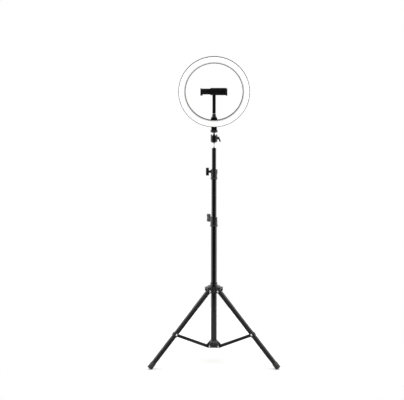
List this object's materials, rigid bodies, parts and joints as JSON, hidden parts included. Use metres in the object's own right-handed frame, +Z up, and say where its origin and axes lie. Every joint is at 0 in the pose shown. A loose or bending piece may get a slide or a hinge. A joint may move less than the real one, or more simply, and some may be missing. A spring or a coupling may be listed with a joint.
{
  "type": "ring light on tripod stand",
  "caption": "Round LED ring lamp with a phone clip in its opening, on a ball head and a three-section telescoping light stand with folding braced legs.",
  "frame": {"origin": "on the floor under the column's axis", "axes": "+X to the right seen from the lamp's lit side, +Y behind the lamp, +Z up the column"},
  "size_m": [0.49, 0.425, 1.14],
  "materials": {
    "black_tube": "semi-gloss black powder coat",
    "black_pressed_steel": "semi-gloss black enamel",
    "black_moulding": "fine-textured black moulding",
    "lamp_housing": "satin black moulding",
    "opal_diffuser": "opal translucent moulding",
    "bright_steel": "bright plated",
    "blackened_alloy": "black anodised",
    "soft_rubber": "matte rubber",
    "nylon": "natural nylon",
    "circuit_board": "white solder mask",
    "led_phosphor": "yellow phosphor in clear resin"
  },
  "bodies": {
    "stand": {"lower_hub": "black_moulding", "lower_hub_rivets": "bright_steel", "lower_tube": "black_tube", "lower_collar": "black_moulding", "lower_clamp_pad": "nylon"},
    "spreader": {"upper_hub": "black_moulding", "leg_pivot_rivets": "bright_steel"},
    "hub_knob": {"hub_clamp_screw": "bright_steel", "hub_clamp_knob": "black_moulding"},
    "middle_section": {"middle_tube": "black_tube", "middle_tube_bush": "nylon", "upper_collar": "black_moulding", "upper_clamp_pad": "nylon"},
    "lower_knob": {"lower_clamp_screw": "bright_steel", "lower_clamp_knob": "black_moulding"},
    "top_section": {"top_tube": "black_tube", "top_tube_bush": "nylon", "top_cap": "black_moulding", "top_stud": "bright_steel", "stud_nut": "bright_steel"},
    "upper_knob": {"upper_clamp_screw": "bright_steel", "upper_clamp_knob": "black_moulding"},
    "ball_head": {"ball_housing": "blackened_alloy", "ball_clamp_pad": "nylon"},
    "lock_lever": {"lever_screw": "bright_steel", "ball_lock_lever": "black_moulding"},
    "head_ball": {"ball_stem": "blackened_alloy", "mount_screw": "bright_steel"},
    "lock_nut": {"lock_ring": "black_moulding"},
    "lamp": {"mount_block": "lamp_housing", "block_screws": "bright_steel", "rear_housing": "lamp_housing", "diffuser": "opal_diffuser", "led_board": "circuit_board", "led_chips": "led_phosphor", "housing_screws": "bright_steel", "cable_gland": "soft_rubber", "holder_shoe": "lamp_housing"},
    "holder_arm": {"phone_arm": "black_moulding"},
    "phone_clip": {"clip_pivot_screw": "bright_steel", "clip_body": "black_moulding", "fixed_jaw_pad": "soft_rubber", "clip_spring": "bright_steel"},
    "sliding_jaw": {"clip_jaw": "black_moulding", "moving_jaw_pad": "soft_rubber"},
    "leg_left_body": {"leg_left": "black_pressed_steel", "foot_left": "soft_rubber", "saddle_left": "black_pressed_steel", "brace_rivet_left": "bright_steel"},
    "brace_left_body": {"brace_left": "black_pressed_steel"},
    "leg_right_body": {"leg_right": "black_pressed_steel", "foot_right": "soft_rubber", "saddle_right": "black_pressed_steel", "brace_rivet_right": "bright_steel"},
    "brace_right_body": {"brace_right": "black_pressed_steel"},
    "leg_back_body": {"leg_back": "black_pressed_steel", "foot_back": "soft_rubber", "saddle_back": "black_pressed_steel", "brace_rivet_back": "bright_steel"},
    "brace_back_body": {"brace_back": "black_pressed_steel"}
  },
  "joints": [
    {"name": "hub_slide", "type": "slide", "parent": "stand", "child": "spreader", "axis": [0, 0, 1], "range_m": [0, 0.14657]},
    {"name": "leg_left_fold", "type": "hinge", "parent": "spreader", "child": "leg_left_body", "pos_m": [-0.01905, -0.011, 0.26374], "axis": [0.5, -0.866, 0], "range_deg": [0, 40]},
    {"name": "brace_left_fold", "type": "hinge", "parent": "leg_left_body", "child": "brace_left_body", "pos_m": [-0.14238, -0.0822, 0.11627], "axis": [0.5, -0.866, 0], "range_deg": [-100.77, 0]},
    {"name": "leg_right_fold", "type": "hinge", "parent": "spreader", "child": "leg_right_body", "pos_m": [0.01905, -0.011, 0.26374], "axis": [0.5, 0.866, 0], "range_deg": [0, 40]},
    {"name": "brace_right_fold", "type": "hinge", "parent": "leg_right_body", "child": "brace_right_body", "pos_m": [0.14238, -0.0822, 0.11627], "axis": [0.5, 0.866, 0], "range_deg": [-100.77, 0]},
    {"name": "leg_back_fold", "type": "hinge", "parent": "spreader", "child": "leg_back_body", "pos_m": [0, 0.022, 0.26374], "axis": [-1, 0, 0], "range_deg": [0, 40]},
    {"name": "brace_back_fold", "type": "hinge", "parent": "leg_back_body", "child": "brace_back_body", "pos_m": [0, 0.1644, 0.11627], "axis": [-1, 0, 0], "range_deg": [-100.77, 0]},
    {"name": "hub_knob_turn", "type": "hinge", "parent": "spreader", "child": "hub_knob", "pos_m": [0, 0, 0.28594], "axis": [0, 1, 0], "range_deg": [0, 360]},
    {"name": "lower_knob_turn", "type": "hinge", "parent": "stand", "child": "lower_knob", "pos_m": [0, 0, 0.5355], "axis": [-0.7431, 0.6691, 0], "range_deg": [0, 360]},
    {"name": "upper_knob_turn", "type": "hinge", "parent": "middle_section", "child": "upper_knob", "pos_m": [0, 0, 0.7125], "axis": [-1, 0, 0], "range_deg": [0, 360]},
    {"name": "middle_slide", "type": "slide", "parent": "stand", "child": "middle_section", "axis": [0, 0, 1], "range_m": [-0.142, 0.21]},
    {"name": "top_slide", "type": "slide", "parent": "middle_section", "child": "top_section", "axis": [0, 0, 1], "range_m": [-0.075, 0.3]},
    {"name": "head_pan", "type": "hinge", "parent": "top_section", "child": "ball_head", "pos_m": [0, 0, 0.8208], "axis": [0, 0, 1], "range_deg": [-180, 180]},
    {"name": "lever_turn", "type": "hinge", "parent": "ball_head", "child": "lock_lever", "pos_m": [0, 0, 0.8378], "axis": [1, 0, 0], "range_deg": [0, 180]},
    {"name": "ball_tilt", "type": "hinge", "parent": "ball_head", "child": "head_ball", "pos_m": [0, 0, 0.8413], "axis": [1, 0, 0], "range_deg": [-35, 35]},
    {"name": "lock_ring_turn", "type": "hinge", "parent": "head_ball", "child": "lock_nut", "pos_m": [0, 0, 0.8588], "axis": [0, 0, 1], "range_deg": [-180, 180]},
    {"name": "lamp_swivel", "type": "hinge", "parent": "head_ball", "child": "lamp", "pos_m": [0, 0, 0.8677], "axis": [0, 0, 1], "range_deg": [-180, 180]},
    {"name": "arm_tilt", "type": "hinge", "parent": "lamp", "child": "holder_arm", "pos_m": [0, 0.004, 0.9223], "axis": [1, 0, 0], "range_deg": [-15, 15]},
    {"name": "clip_swivel", "type": "hinge", "parent": "holder_arm", "child": "phone_clip", "pos_m": [0, 0.004, 1.01], "axis": [0, 1, 0], "range_deg": [-90, 90]},
    {"name": "jaw_slide", "type": "slide", "parent": "phone_clip", "child": "sliding_jaw", "axis": [1, 0, 0], "range_m": [-0.003, 0.03], "deforming": ["clip_spring"]}
  ],
  "couplings": [
    {"joint": "leg_left_fold", "follows": "hub_slide", "rad_per_m": 4.7631},
    {"joint": "brace_left_fold", "follows": "hub_slide", "rad_per_m": -11.999},
    {"joint": "leg_right_fold", "follows": "hub_slide", "rad_per_m": 4.7631},
    {"joint": "brace_right_fold", "follows": "hub_slide", "rad_per_m": -11.999},
    {"joint": "leg_back_fold", "follows": "hub_slide", "rad_per_m": 4.7631},
    {"joint": "brace_back_fold", "follows": "hub_slide", "rad_per_m": -11.999}
  ]
}
